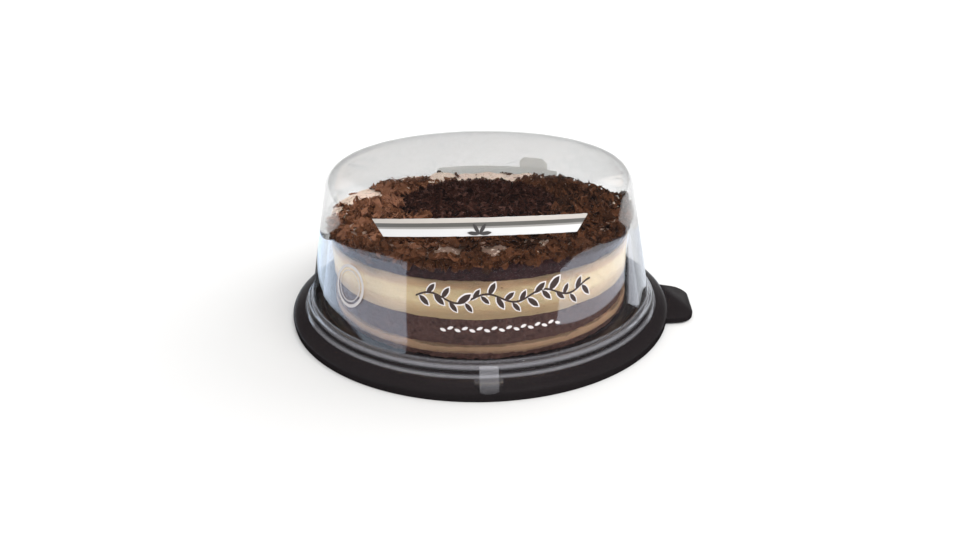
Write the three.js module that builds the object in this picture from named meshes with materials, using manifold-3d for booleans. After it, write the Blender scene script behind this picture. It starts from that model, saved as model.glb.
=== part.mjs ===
// A round layered chocolate and cream cake, shut in its own pack: a black formed
// tray with a sloping rim and a side tab, and a clear domed lid with a front lug
// and three labels. Millimetres, +Z up, the origin on the ground under the middle
// of the pack and its tab. The front of the pack faces -Y.
import * as THREE from 'three';
import { mergeVertices } from 'three/addons/utils/BufferGeometryUtils.js';
import Module from 'manifold-3d';

const wasm = await Module();
wasm.setup();

// ---- driving dimensions -------------------------------------------------------
const SEGMENTS = 60;
const CAKE_SEGMENTS = 48;
const GAP = 0.3;
const DEGREE = Math.PI / 180;

// The cake's top leans back by its tilt and droops by its sag towards front and back.
const CAKE = { radius: 79, bottom: 8, tilt: 3.2, sag: 1.2, inset: 0.6 };
// Mean height of each layer's top at the cake's edge, how far it waves, how far its side
// bulges and how far it spreads past the cake's radius.
const LAYERS = [
  { name: 'sponge_bottom', top: 10.0, wave: 0.25, bulge: 0.0, spread: 1.8, colour: '#4a2f27' },
  { name: 'cream_lower', top: 14.1, wave: 0.4, bulge: 0.0, spread: 1.0, colour: '#b08a66' },
  { name: 'sponge_middle', top: 27.3, wave: 0.6, bulge: -0.7, spread: 0.2, colour: '#46302f' },
  { name: 'cream_middle', top: 44.8, wave: 0.6, bulge: 0.5, spread: 0.0, colour: '#ddcba0' },
  { name: 'sponge_top', top: 53.1, wave: 0.4, bulge: -0.4, spread: 0.0, colour: '#412a2b' },
  { name: 'cream_top', top: 54.5, wave: 0.0, bulge: 0.0, spread: 0.0, colour: '#e6cdb4' },
];
const RIM_HEAP = { inner: 42.0, outer: 79.2, low: 0.9, high: 3.6, lumps: 17, flakes: 40 };
const MOUND = { radius: 41.2, edge: 2.6, rise: 6.2, fullness: 3, shavings: 32 };
const FLAKE = { length: [8, 17], width: [4, 8], bend: [6, 12], thickness: 1.1 };
const SHAVING = { length: [4, 9], width: [1.2, 2.2], thickness: 1.1 };
const OVERHANG = {
  drop: [0.4, 3.6], length: [5, 8], bend: 14, count: 9, from: -2.65, to: -1.45, lean: 0.2, reach: 81.9,
};
// All toppings lie between these heights, and start this far above the top layer.
const TOPPINGS = { low: 40, high: 75, lift: 1.5 * GAP };
const GOLDEN_ANGLE = Math.PI * (3 - Math.sqrt(5));

const TRAY = {
  sheet: 0.8, floor: 7.6, floorRadius: 86, rimRadius: 103.6, rimTop: 4.3, footRadius: 102.9, footWidth: 1.2,
};
// The bead that the lid snaps over, the groove outside it and the rim's slope.
const TRAY_BEAD = [[88.0, 9.4], [90.2, 10.5], [91.4, 10.2], [92.4, 8.8], [94.4, 7.6]];
const TRAY_SLOPE = [[97.2, 7.1], [101.4, 5.7]];
const TAB = {
  angle: -10, root: 96, reach: 116, halfRoot: 22, halfEnd: 15, corner: 5, bow: 0.8,
  top: 4.3, bottom: 0.9, wall: 1.0,
};

const LID = { film: 0.7, height: 80, shoulder: 11.6, topRadius: 68.4, footRadius: 91.6, footZ: 13.4 };
// The lid's flange, stepped down over the bead.
const LID_FLANGE = [[92.9, 12.6], [93.6, 10.9], [94.4, 10.0], [95.5, 9.4], [96.4, 8.1]];
const LUG = {
  angle: -88, half: 7.2, inner: 95.4, fold: 99.6, outer: 104.6, top: 8.9, foldTop: 7.8, tip: 5.3, corner: 3.5,
};

const LABEL = { thickness: 0.3, segment: 6 };
const TOP_LABEL = { half: 36.5, low: -2.7, lowDrop: 4.7, high: 5.0, highDrop: 4.5, lean: 0.5, cut: 6.6, cutFrom: 0.8 };
const SIDE_LABEL = { centre: -90, half: 60, low: 17, high: 54 };
const BACK_LABEL = { centre: 81, half: 27, low: 24, high: 54, lugAngle: 65, lugHalf: 6.5, lugRise: 8 };

// ---- seeded random draws --------------------------------------------------------
function seededRandom(seed) {
  let state = seed;
  return () => {
    state = (state + 0x6d2b79f5) | 0;
    let t = Math.imul(state ^ (state >>> 15), 1 | state);
    t = (t + Math.imul(t ^ (t >>> 7), 61 | t)) ^ t;
    return ((t ^ (t >>> 14)) >>> 0) / 4294967296;
  };
}

const between = (random, [low, high]) => low + (high - low) * random();

// ---- solids -----------------------------------------------------------------------
// A closed solid from a geometry whose shared points are merged; faces of no area
// at the axis are dropped and an inside-out shell is turned round.
function toSolid(geometry) {
  const bare = geometry.clone();
  for (const name of ['normal', 'uv']) bare.deleteAttribute(name);
  const merged = mergeVertices(bare, 1e-4);
  const position = merged.attributes.position;
  const corner = (i) => new THREE.Vector3().fromBufferAttribute(position, i);
  const triangles = [];
  let volume = 0;
  for (let i = 0; i < merged.index.count; i += 3) {
    const [a, b, c] = [0, 1, 2].map((k) => merged.index.getX(i + k));
    if (a === b || b === c || c === a) continue;
    triangles.push([a, b, c]);
    volume += corner(a).dot(corner(b).cross(corner(c)));
  }
  const outward = volume > 0 ? triangles : triangles.map(([a, b, c]) => [a, c, b]);
  return new wasm.Manifold(new wasm.Mesh({
    numProp: 3,
    vertProperties: new Float32Array(position.array),
    triVerts: new Uint32Array(outward.flat()),
  }));
}

function toGeometry(solid) {
  const mesh = solid.getMesh();
  const geometry = new THREE.BufferGeometry();
  geometry.setAttribute('position', new THREE.BufferAttribute(mesh.vertProperties, 3));
  geometry.setIndex(new THREE.BufferAttribute(mesh.triVerts, 1));
  geometry.computeVertexNormals();
  return geometry;
}

// The largest connected body of a solid, without loose scraps.
function largestBody(solid) {
  return solid.decompose().sort((a, b) => b.volume() - a.volume())[0];
}

// A profile of [radius, height] points turned round the Z axis.
function revolve(profile, segments = SEGMENTS) {
  const points = profile.map(([r, z]) => new THREE.Vector2(r, z));
  return new THREE.LatheGeometry(points, segments).rotateX(Math.PI / 2);
}

function moveVertices(geometry, place) {
  const position = geometry.attributes.position;
  for (let i = 0; i < position.count; i += 1) {
    const [x, y, z] = place(position.getX(i), position.getY(i), position.getZ(i));
    position.setXYZ(i, x, y, z);
  }
  return geometry;
}

// The closed profile of a formed sheet whose upper face runs along the points, from
// the axis to the cut edge, and whose lower face lies one thickness inside.
function sheetProfile(points, thickness) {
  const lower = points.map(([r, z], i) => {
    const [r0, z0] = points[Math.max(i - 1, 0)];
    const [r1, z1] = points[Math.min(i + 1, points.length - 1)];
    const length = Math.hypot(r1 - r0, z1 - z0);
    return [Math.max(r + (thickness * (z1 - z0)) / length, 0), z - (thickness * (r1 - r0)) / length];
  });
  lower[0] = [0, points[0][1] - thickness];
  return [...points, ...lower.reverse()];
}

// ---- the cake's layers ---------------------------------------------------------------
function layerSurface(index) {
  if (index < 0) return () => CAKE.bottom;
  const { top, wave } = LAYERS[index];
  const share = (top - CAKE.bottom) / (LAYERS[LAYERS.length - 1].top - CAKE.bottom);
  return (x, y) => {
    const angle = Math.atan2(y, x);
    const edge = Math.min(Math.hypot(x, y) / CAKE.radius, 1);
    const ripple = 0.6 * Math.sin(3 * angle + 1.7 * index) + 0.36 * Math.sin(7 * angle + 2.9 * index);
    const back = y / CAKE.radius;
    return top - (CAKE.tilt * back + CAKE.sag * back ** 2) * share ** 2 + wave * edge * ripple;
  };
}

function sideWave(angle, index) {
  return 0.35 * Math.sin(5 * angle + index) + 0.25 * Math.sin(11 * angle + 2 * index);
}

// A round slab between two surfaces, a little uneven at its edge.
function slab(low, high, radius, bulge, index) {
  const middle = bulge === 0 ? [] : [[1 + bulge / radius, 0.5]];
  const profile = revolve([[0, 0], [1, 0], ...middle, [1, 1], [0, 1]], CAKE_SEGMENTS);
  return moveVertices(profile, (x, y, t) => {
    const reach = radius + sideWave(Math.atan2(y, x), index);
    const [px, py] = [x * reach, y * reach];
    const bottom = low(px, py) + (index > 0 ? GAP / 2 : 0);
    return [px, py, THREE.MathUtils.lerp(bottom, high(px, py) - GAP / 2, t)];
  });
}

function layerSolid(index) {
  const { bulge, spread } = LAYERS[index];
  const radius = CAKE.radius - CAKE.inset + spread;
  return toSolid(slab(layerSurface(index - 1), layerSurface(index), radius, bulge, index));
}

const cakeTop = layerSurface(LAYERS.length - 1);

// The space that toppings keep clear of: the cake up to a little above its top layer.
function cakeSpace(radius) {
  return toSolid(slab(() => TOPPINGS.low - 1, cakeTop, radius, 0, 0).translate(0, 0, TOPPINGS.lift));
}

// The space round the axis between two radii in which a topping may lie.
function toppingSpace(inner, outer) {
  const { low, high } = TOPPINGS;
  const wall = inner > 0 ? [[inner, low]] : [];
  return toSolid(revolve([[inner, low], [outer, low], [outer, high], [inner, high], ...wall]));
}

// ---- toppings ---------------------------------------------------------------------------
// A curled flake: an arc of a thin band, its middle at the origin, curving up at its ends.
function flakeGeometry(length, width, bend, thickness) {
  const half = length / bend / 2;
  const band = new THREE.Shape();
  band.absarc(0, 0, bend + thickness / 2, -Math.PI / 2 - half, -Math.PI / 2 + half, false);
  band.absarc(0, 0, bend - thickness / 2, -Math.PI / 2 + half, -Math.PI / 2 - half, true);
  const flake = new THREE.ExtrudeGeometry(band, { depth: width, bevelEnabled: false, curveSegments: 1 });
  return flake.translate(0, bend, -width / 2).rotateX(Math.PI / 2);
}

function place(geometry, position, turn) {
  const matrix = new THREE.Matrix4().makeRotationFromEuler(new THREE.Euler(...turn, 'ZYX'));
  return geometry.applyMatrix4(matrix.setPosition(...position));
}

function lump(x, y) {
  const angle = Math.atan2(y, x);
  const radius = Math.hypot(x, y);
  const across = Math.sin((Math.PI * (radius - RIM_HEAP.inner)) / (RIM_HEAP.outer - RIM_HEAP.inner));
  const round = 0.5 + 0.5 * Math.sin(RIM_HEAP.lumps * angle + 1.3 * Math.sin(3 * angle) + radius / 9);
  return RIM_HEAP.low + (RIM_HEAP.high - RIM_HEAP.low) * Math.max(across, 0) * (0.35 + 0.65 * round);
}

// The ring of cream lumps under the flakes.
function rimCore() {
  const { inner, outer } = RIM_HEAP;
  const rings = [0.02, 0.22, 0.5, 0.78, 0.97].map((share) => [inner + (outer - inner) * share, 1]);
  const profile = [[inner, 0], [outer, 0], [outer + 1, 0.5], ...rings.reverse(), [inner, 0]];
  const ring = revolve(profile, CAKE_SEGMENTS);
  return toSolid(moveVertices(ring, (x, y, t) => [x, y, cakeTop(x, y) + GAP + t * lump(x, y)]));
}

function scatteredFlakes() {
  const random = seededRandom(11);
  const { inner, outer, flakes } = RIM_HEAP;
  const pieces = [];
  for (let i = 0; i < flakes; i += 1) {
    const radius = Math.sqrt(between(random, [(inner + 6) ** 2, (outer - 4) ** 2]));
    const angle = i * GOLDEN_ANGLE;
    const [x, y] = [radius * Math.cos(angle), radius * Math.sin(angle)];
    const size = [FLAKE.length, FLAKE.width, FLAKE.bend].map((range) => between(random, range));
    const height = cakeTop(x, y) + GAP + lump(x, y) + between(random, [-0.2, 0.9]);
    const turn = [between(random, [-0.55, 0.55]), between(random, [-0.35, 0.35]), between(random, [0, 6.28])];
    pieces.push(place(flakeGeometry(...size, FLAKE.thickness), [x, y, height], turn));
  }
  return pieces;
}

// Flakes that have slid over the edge at the front left and lie against the side.
function hangingFlakes() {
  const random = seededRandom(23);
  const pieces = [];
  for (let i = 0; i < OVERHANG.count; i += 1) {
    const angle = OVERHANG.from + ((OVERHANG.to - OVERHANG.from) * (i + random() * 0.6)) / OVERHANG.count;
    const radius = CAKE.radius + 1.0;
    const [x, y] = [radius * Math.cos(angle), radius * Math.sin(angle)];
    const length = between(random, OVERHANG.length);
    const width = between(random, FLAKE.width);
    const flake = flakeGeometry(length, width, OVERHANG.bend, FLAKE.thickness).rotateY(Math.PI / 2);
    const height = cakeTop(x, y) + length / 2 - between(random, OVERHANG.drop);
    pieces.push(place(flake, [x, y, height], [0, -OVERHANG.lean, angle]));
  }
  return pieces;
}

// The rim's toppings lie over the cake, round the mound and inside the lid.
function rimFlakes() {
  const flakes = [...scatteredFlakes(), ...hangingFlakes()];
  const heap = flakes.reduce((sum, flake) => sum.add(toSolid(flake)), rimCore());
  const space = toppingSpace(RIM_HEAP.inner - GAP, OVERHANG.reach);
  return largestBody(heap.intersect(space).subtract(cakeSpace(CAKE.radius + GAP)));
}

const moundHeight = (radius) => MOUND.edge + MOUND.rise * (1 - (radius / MOUND.radius) ** MOUND.fullness);

function moundCore() {
  const { radius } = MOUND;
  const rings = [0.98, 0.86, 0.68, 0.42, 0].map((share) => [radius * share, 1]);
  const dome = revolve([[0, 0], [radius, 0], ...rings], CAKE_SEGMENTS);
  const lift = (x, y, t) => [x, y, cakeTop(x, y) + GAP + t * moundHeight(Math.hypot(x, y))];
  return toSolid(moveVertices(dome, lift));
}

function moundShavings() {
  const random = seededRandom(37);
  const { radius, shavings } = MOUND;
  let mound = moundCore();
  for (let i = 0; i < shavings; i += 1) {
    const [length, width] = [between(random, SHAVING.length), between(random, SHAVING.width)];
    const reach = (radius - length / 2) * Math.sqrt((i + 0.5) / shavings);
    const angle = i * GOLDEN_ANGLE;
    const [x, y] = [reach * Math.cos(angle), reach * Math.sin(angle)];
    const sliver = new THREE.BoxGeometry(length, width, SHAVING.thickness);
    const turn = [between(random, [-0.4, 0.4]), between(random, [-0.45, 0.45]), between(random, [0, 6.28])];
    const height = cakeTop(x, y) + GAP + moundHeight(reach) + between(random, [0.1, 0.7]);
    mound = mound.add(toSolid(place(sliver, [x, y, height], turn)));
  }
  return largestBody(mound.intersect(toppingSpace(0, radius)).subtract(cakeSpace(CAKE.radius)));
}

// ---- the black tray ------------------------------------------------------------------------
// The floor stands as a low plateau; round it a bead holds the lid, and the rim slopes
// down to a short upright edge that stands on the ground.
function traySheet() {
  const { floor, floorRadius, rimRadius, rimTop, footRadius, footWidth, sheet } = TRAY;
  const edge = [[rimRadius - 0.4, rimTop], [footRadius + 0.3, rimTop / 2]];
  const upper = [[0, floor], [floorRadius, floor], ...TRAY_BEAD, ...TRAY_SLOPE, ...edge];
  const lower = sheetProfile(upper, sheet).slice(upper.length);
  return toSolid(revolve([...upper, [footRadius, 0], [footRadius - footWidth, 0], ...lower]));
}

function tabOutline(inset) {
  const { root, reach, halfRoot, halfEnd, corner, bow } = TAB;
  const end = reach - inset;
  const [wide, slim] = [halfRoot - inset, halfEnd - inset];
  const outline = new THREE.Shape();
  outline.moveTo(root, -wide);
  outline.lineTo(TRAY.rimRadius, -wide);
  outline.quadraticCurveTo(end - bow, -slim - corner / 2, end, -slim + corner);
  outline.quadraticCurveTo(end + bow, 0, end, slim - corner);
  outline.quadraticCurveTo(end - bow, slim + corner / 2, TRAY.rimRadius, wide);
  outline.lineTo(root, wide);
  return outline;
}

// The tab is a flat plate with a turned-down edge, open underneath.
function trayTab() {
  const { top, bottom, wall, angle } = TAB;
  const block = (inset, low, high) => {
    const shape = { depth: high - low, bevelEnabled: false, curveSegments: 5 };
    return toSolid(new THREE.ExtrudeGeometry(tabOutline(inset), shape).translate(0, 0, low));
  };
  const outside = block(0, bottom, top);
  const hollow = block(wall, bottom - 1, top - wall);
  const seam = TRAY.footRadius - TRAY.footWidth / 2;
  const inside = toSolid(revolve([[0, -1], [seam, -1], [seam, TRAY.floor], [0, TRAY.floor]]));
  return outside.subtract(hollow).rotate([0, 0, angle]).subtract(inside);
}

function baseTray() {
  return largestBody(traySheet().add(trayTab()));
}

// ---- the clear lid ------------------------------------------------------------------------------
const draft = Math.atan2(
  LID.footRadius - LID.topRadius - LID.shoulder,
  LID.height - LID.shoulder - LID.footZ,
);

// A point on the lid's outer face and its outward normal, at a distance along the
// face from where the wall meets the shoulder: positive over the shoulder.
function lidFace(distance) {
  const angle = draft + Math.max(distance, 0) / LID.shoulder;
  const [nr, nz] = [Math.cos(angle), Math.sin(angle)];
  const down = Math.min(distance, 0);
  return {
    r: LID.topRadius + LID.shoulder * nr - down * Math.sin(draft),
    z: LID.height - LID.shoulder + LID.shoulder * nz + down * Math.cos(draft),
    nr,
    nz,
  };
}

const wallDistance = (z) => (z - lidFace(0).z) / Math.cos(draft);

function lidShell() {
  const quarter = (Math.PI / 2 - draft) * LID.shoulder;
  const shoulder = [1, 0.75, 0.5, 0.25, 0].map((share) => lidFace(share * quarter)).map(({ r, z }) => [r, z]);
  const foot = lidFace(wallDistance(LID.footZ));
  const upper = [[0, LID.height], ...shoulder, [foot.r, foot.z], ...LID_FLANGE];
  return toSolid(revolve(sheetProfile(upper, LID.film)));
}

// The lug that lifts the lid: a tongue that runs out over the tray's rim and folds down.
function lidLug() {
  const { angle, half, inner, fold, outer, top, foldTop, tip, corner } = LUG;
  const upper = [[inner, top], [fold, foldTop], [outer, tip]];
  const lower = upper.map(([r, z]) => [r, z - LID.film]).reverse();
  const section = new THREE.Shape([...upper, ...lower].map(([r, z]) => new THREE.Vector2(r, z)));
  const tongue = new THREE.ExtrudeGeometry(section, { depth: 2 * half, bevelEnabled: false });
  tongue.translate(0, 0, -half).rotateX(Math.PI / 2);
  const outline = new THREE.Shape();
  outline.moveTo(inner, -half);
  outline.lineTo(outer - corner, -half);
  outline.quadraticCurveTo(outer, -half, outer, 0);
  outline.quadraticCurveTo(outer, half, outer - corner, half);
  outline.lineTo(inner, half);
  const shape = { depth: 2 * top, bevelEnabled: false, curveSegments: 5 };
  const cutter = new THREE.ExtrudeGeometry(outline, shape);
  return toSolid(tongue).intersect(toSolid(cutter)).rotate([0, 0, angle]);
}

function lidDome() {
  return largestBody(lidShell().add(lidLug()));
}

// ---- labels ---------------------------------------------------------------------------------------
// A thin label on the lid: u runs from -1 to 1 round the lid and v from 0 to 1 up it.
function wrappedLabel(centre, half, rows, low, high) {
  const columns = Math.round((2 * half) / LABEL.segment);
  const sheet = new THREE.BoxGeometry(2, 1, 1, columns, rows, 1);
  return toSolid(moveVertices(sheet, (u, v, w) => {
    const face = lidFace(THREE.MathUtils.lerp(low(u), high(u), v + 0.5));
    const lift = GAP + (w + 0.5) * LABEL.thickness;
    const angle = (centre + u * half) * DEGREE;
    const radius = face.r + lift * face.nr;
    return [radius * Math.cos(angle), radius * Math.sin(angle), face.z + lift * face.nz];
  }));
}

function topLabel() {
  const { half, low, lowDrop, high, highDrop, lean, cut, cutFrom } = TOP_LABEL;
  const corner = (u) => (cut * Math.max(Math.abs(u) - cutFrom, 0)) / (1 - cutFrom);
  const lower = (u) => low + lean * u - lowDrop * u ** 2 + corner(u);
  return wrappedLabel(-90, half, 4, lower, (u) => high + lean * u - highDrop * u ** 2);
}

function sideLabel() {
  const { centre, half, low, high } = SIDE_LABEL;
  return wrappedLabel(centre, half, 1, () => wallDistance(low), () => wallDistance(high));
}

function backLabel() {
  const { centre, half, low, high, lugAngle, lugHalf, lugRise } = BACK_LABEL;
  const sheet = wrappedLabel(centre, half, 1, () => wallDistance(low), () => wallDistance(high));
  const round = (u) => wallDistance(high - 1) + lugRise * Math.sqrt(Math.max(1 - u ** 2, 0.04));
  const lug = wrappedLabel(lugAngle, lugHalf, 1, () => wallDistance(high - 1), round);
  return sheet.add(lug);
}

// ---- the object ---------------------------------------------------------------------------------------
function named(name, solid, colour, roughness, extra = {}) {
  const material = new THREE.MeshStandardMaterial({ color: colour, roughness, metalness: 0, ...extra });
  const mesh = new THREE.Mesh(toGeometry(solid), material);
  mesh.name = name;
  return mesh;
}

const clear = { transparent: true, opacity: 0.25 };

// Everything is made round the tray's own axis; the tab then moves it off the middle.
const pack = new THREE.Group();
pack.position.x = -(TAB.reach - TRAY.rimRadius) / 2;
LAYERS.forEach(({ name, colour }, index) => pack.add(named(name, layerSolid(index), colour, 0.85)));
pack.add(named('flakes_rim', rimFlakes(), '#6e4b37', 0.7));
pack.add(named('shavings_centre', moundShavings(), '#3a2926', 0.8));
pack.add(named('base_tray', baseTray(), '#1f1d1e', 0.25));
pack.add(named('lid_dome', lidDome(), '#e8ebee', 0.08, clear));
pack.add(named('label_top', topLabel(), '#f7f7f7', 0.5));
pack.add(named('label_side', sideLabel(), '#e9e6f2', 0.2, clear));
pack.add(named('label_back', backLabel(), '#f2f2f0', 0.5));

export default pack;
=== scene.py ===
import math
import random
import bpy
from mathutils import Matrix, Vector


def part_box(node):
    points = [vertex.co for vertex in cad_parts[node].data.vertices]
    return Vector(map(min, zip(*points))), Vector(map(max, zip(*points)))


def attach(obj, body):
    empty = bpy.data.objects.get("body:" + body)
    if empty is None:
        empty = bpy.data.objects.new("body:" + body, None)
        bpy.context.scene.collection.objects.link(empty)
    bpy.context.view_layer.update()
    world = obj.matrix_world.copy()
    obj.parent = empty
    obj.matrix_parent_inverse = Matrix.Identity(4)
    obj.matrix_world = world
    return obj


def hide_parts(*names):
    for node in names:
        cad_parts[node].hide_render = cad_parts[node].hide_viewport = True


bl_info = {
    "name": "Packed Layer Cake",
    "version": (1, 0, 0),
    "blender": (4, 5, 0),
    "location": "3D View > Sidebar > Cake",
    "description": "Models a chocolate and cream layer cake in its tray and clear lid",
    "category": "Mesh",
}

import bmesh
import bpy
from mathutils import Euler, Matrix, Vector
from mathutils.bvhtree import BVHTree

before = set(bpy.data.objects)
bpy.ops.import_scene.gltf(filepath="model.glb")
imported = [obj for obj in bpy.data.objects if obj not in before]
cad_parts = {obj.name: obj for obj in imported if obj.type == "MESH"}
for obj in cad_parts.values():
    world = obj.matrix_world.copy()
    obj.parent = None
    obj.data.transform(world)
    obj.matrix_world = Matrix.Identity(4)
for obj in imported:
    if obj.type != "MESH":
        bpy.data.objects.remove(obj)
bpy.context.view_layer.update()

MM = 0.001
ORIGIN = (0.0, 0.0, 0.0)
UP = Vector((0.0, 0.0, 1.0))
DOWN = Vector((0.0, 0.0, -1.0))

# The round parts turn about the middle of the lid's flange, which is symmetric across X.
LID_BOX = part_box("lid_dome")
TRAY_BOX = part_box("base_tray")
AXIS_X = (LID_BOX[0].x + LID_BOX[1].x) / 2
AXIS = Vector((AXIS_X, 0.0, 0.0))
RIM_RADIUS = TRAY_BOX[1].y
TAB_REACH = TRAY_BOX[1].x - AXIS_X
FLANGE_RADIUS = LID_BOX[1].y
FRONT = -math.pi / 2

AROUND = 192
CAKE_AROUND = 560
CRUMB_ROW = 0.85 * MM
ABOVE_CAKE = 72 * MM
PRINT_THICKNESS = 0.05 * MM
MIRROR_LIFT = 0.2 * MM


# ---- sizes and colours that can be changed ------------------------------------------


def length(name, description, default):
    """A property that holds a length in metres."""
    return bpy.props.FloatProperty(
        name=name, description=description, default=default, unit="LENGTH", precision=5
    )


def direction(name, description, degrees):
    """A property that holds a direction round the tray's axis."""
    return bpy.props.FloatProperty(
        name=name, description=description, default=math.radians(degrees), subtype="ANGLE"
    )


def amount(name, description, default):
    """A property that holds a number of things."""
    return bpy.props.IntProperty(name=name, description=description, default=default)


def colour(name, description, default):
    """A property that holds a linear colour."""
    return bpy.props.FloatVectorProperty(
        name=name, description=description, default=default, subtype="COLOR", size=3, min=0.0, max=1.0
    )


class TraySettings(bpy.types.PropertyGroup):
    """Sizes and colour of the formed tray."""

    floor_height: length("Floor height", "Height of the raised floor that the cake stands on", 7.6 * MM)
    bead_height: length("Bead height", "Height of the bead that the lid snaps over", TRAY_BOX[1].z)
    sheet: length("Sheet thickness", "Thickness of the formed sheet", 0.8 * MM)
    tab_turn: direction("Tab direction", "Direction of the side tab", -8.5)
    black: colour("Plastic", "Colour of the tray", (0.0135, 0.0112, 0.012))


class LidSettings(bpy.types.PropertyGroup):
    """Sizes and tint of the clear lid."""

    height: length("Height", "Height of the lid's roof above the ground", LID_BOX[1].z)
    roof_radius: length("Roof radius", "Radius of the flat roof", 68.4 * MM)
    shoulder: length("Shoulder radius", "Radius of the round edge between roof and wall", 11.6 * MM)
    foot_radius: length("Foot radius", "Radius of the wall where it meets the flange", 91.6 * MM)
    foot_height: length("Foot height", "Height of the wall's lower end", 13.4 * MM)
    film: length("Film thickness", "Thickness of the formed film", 0.7 * MM)
    lug_turn: direction("Lug direction", "Direction of the front lug", -88)
    tint: colour("Tint", "What one face of the film lets through", (0.985, 0.987, 0.987))


class CakeSettings(bpy.types.PropertyGroup):
    """Sizes and colours of the cake's layers."""

    radius: length("Radius", "Radius of the cake", 78.6 * MM)
    bottom: length("Bottom", "Height of the cake's underside", 8.0 * MM)
    front_rise: length("Front rise", "How much higher than the middle the front of the top lies", 2.0 * MM)
    back_drop: length("Back drop", "How much lower than the middle the back of the top lies", 4.4 * MM)
    sponge: colour("Sponge", "Colour of the lower layers of dark sponge", (0.080, 0.041, 0.034))
    # The top layer of sponge is the same crumb as the lower ones, only darker.
    top_sponge: colour("Top sponge", "Colour of the soaked top layer of sponge", (0.036, 0.014, 0.014))
    vanilla: colour("Vanilla cream", "Colour of the thick pale layer", (0.76, 0.60, 0.345))
    coffee: colour("Coffee cream", "Colour of the thin tan layer", (0.46, 0.29, 0.17))
    whipped: colour("Whipped cream", "Colour of the cream on top", (0.80, 0.63, 0.52))


class ToppingSettings(bpy.types.PropertyGroup):
    """Amounts and colours of the flakes and shavings."""

    flakes: amount("Flakes", "How many places on the rim a flake is tried at", 1150)
    shavings: amount("Shavings", "How many shavings cover the middle", 1500)
    crumbs: amount("Crumbs", "How many places on the rim a crumb is tried at", 900)
    dollops: amount("Dollops", "How many dollops of cream the rim has", 17)
    milk: colour("Flakes", "Colour of the milk chocolate flakes", (0.092, 0.034, 0.014))
    dark: colour("Shavings", "Colour of the dark shavings", (0.036, 0.011, 0.006))


class LabelSettings(bpy.types.PropertyGroup):
    """Places and colours of the labels."""

    lift: length("Lift", "How far the labels stand off the film", 0.25 * MM)
    paper: length("Paper", "Thickness of a paper label", 0.25 * MM)
    film: length("Film", "Thickness of the clear label", 0.15 * MM)
    white: colour("Paper white", "Colour of the paper labels", (0.60, 0.60, 0.60))
    ink: colour("Ink", "Colour of the dark print", (0.050, 0.032, 0.028))
    pale: colour("Pale ink", "Colour of the pale print", (0.66, 0.62, 0.62))


SETTINGS = {
    "cake_tray": TraySettings,
    "cake_lid": LidSettings,
    "cake_layers": CakeSettings,
    "cake_toppings": ToppingSettings,
    "cake_labels": LabelSettings,
}


# ---- places -------------------------------------------------------------------------


def polar(radius, turn, height=0.0):
    """A point at a distance and direction from the tray's axis."""
    return AXIS + Vector((radius * math.cos(turn), radius * math.sin(turn), height))


def turn_of(point):
    """The direction of a point seen from the tray's axis."""
    return math.atan2(point[1], point[0] - AXIS_X)


def distance_of(point):
    """The distance of a point from the tray's axis."""
    return math.hypot(point[0] - AXIS_X, point[1])


def apart(turn, other):
    """How far apart two directions are."""
    return abs((turn - other + math.pi) % (2 * math.pi) - math.pi)


def rounded(points, reach, steps=3):
    """A profile whose corners are rounded over a distance."""
    points = [Vector(point) for point in points]
    result = [points[0]]
    for before, corner, after in zip(points, points[1:], points[2:]):
        ends = []
        for other in (before, after):
            side = other - corner
            ends.append(corner + side.normalized() * min(reach, 0.42 * side.length))
        for step in range(steps + 1):
            share = step / steps
            result.append(ends[0].lerp(corner, share).lerp(corner.lerp(ends[1], share), share))
    return result + [points[-1]]


# ---- modelling helpers --------------------------------------------------------------


def make_active(obj):
    """Selects one object alone."""
    bpy.ops.object.select_all(action="DESELECT")
    obj.select_set(True)
    bpy.context.view_layer.objects.active = obj


def named(name):
    """Names the active object and returns it."""
    obj = bpy.context.object
    obj.name = obj.data.name = name
    return obj


def linked(name, data):
    """A new object in the scene."""
    obj = bpy.data.objects.new(name, data)
    bpy.context.scene.collection.objects.link(obj)
    return obj


def select_all():
    """In edit mode, selects all of the mesh."""
    bpy.ops.mesh.select_all(action="SELECT")


def edit(obj):
    """Goes into edit mode on one object, with all of it selected."""
    make_active(obj)
    bpy.ops.object.mode_set(mode="EDIT")
    select_all()


def end_edit():
    """Goes back to object mode."""
    bpy.ops.object.mode_set(mode="OBJECT")


def primitive(kind, name, **sizes):
    """Adds a primitive at the origin and goes into edit mode, with all of it selected."""
    bpy.ops.object.select_all(action="DESELECT")
    getattr(bpy.ops.mesh, f"primitive_{kind}_add")(**sizes)
    obj = named(name)
    edit(obj)
    return obj


def select_where(obj, kind, test):
    """In edit mode, selects just the vertices, edges or faces whose corners all pass a test."""
    bpy.ops.mesh.select_mode(type=kind)
    bpy.ops.mesh.select_all(action="DESELECT")
    mesh = bmesh.from_edit_mesh(obj.data)
    for item in {"VERT": mesh.verts, "EDGE": mesh.edges, "FACE": mesh.faces}[kind]:
        corners = [item] if kind == "VERT" else item.verts
        if all(test(corner.co) for corner in corners):
            item.select_set(True)
    bmesh.update_edit_mesh(obj.data)


def resize(x, y, z, centre=ORIGIN):
    """In edit mode, scales the selection about a point."""
    bpy.ops.transform.resize(value=(x, y, z), center_override=centre)


def move(x, y, z):
    """In edit mode, moves the selection."""
    bpy.ops.transform.translate(value=(x, y, z))


def rotate(angle, axis, centre=ORIGIN):
    """In edit mode, turns the selection anticlockwise; without a window the operator goes the other way."""
    bpy.ops.transform.rotate(value=-angle, orient_axis=axis, center_override=centre)


def extrude_edges(x, y, z):
    """In edit mode, extrudes the selected edges."""
    bpy.ops.mesh.extrude_edges_move(TRANSFORM_OT_translate={"value": (x, y, z)})


def jitter(offset, uniform, draw):
    """In edit mode, moves the selected vertices at random."""
    seed = draw.randrange(1, 900)
    bpy.ops.transform.vertex_random(offset=offset, uniform=uniform, normal=0.0, seed=seed)


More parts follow.
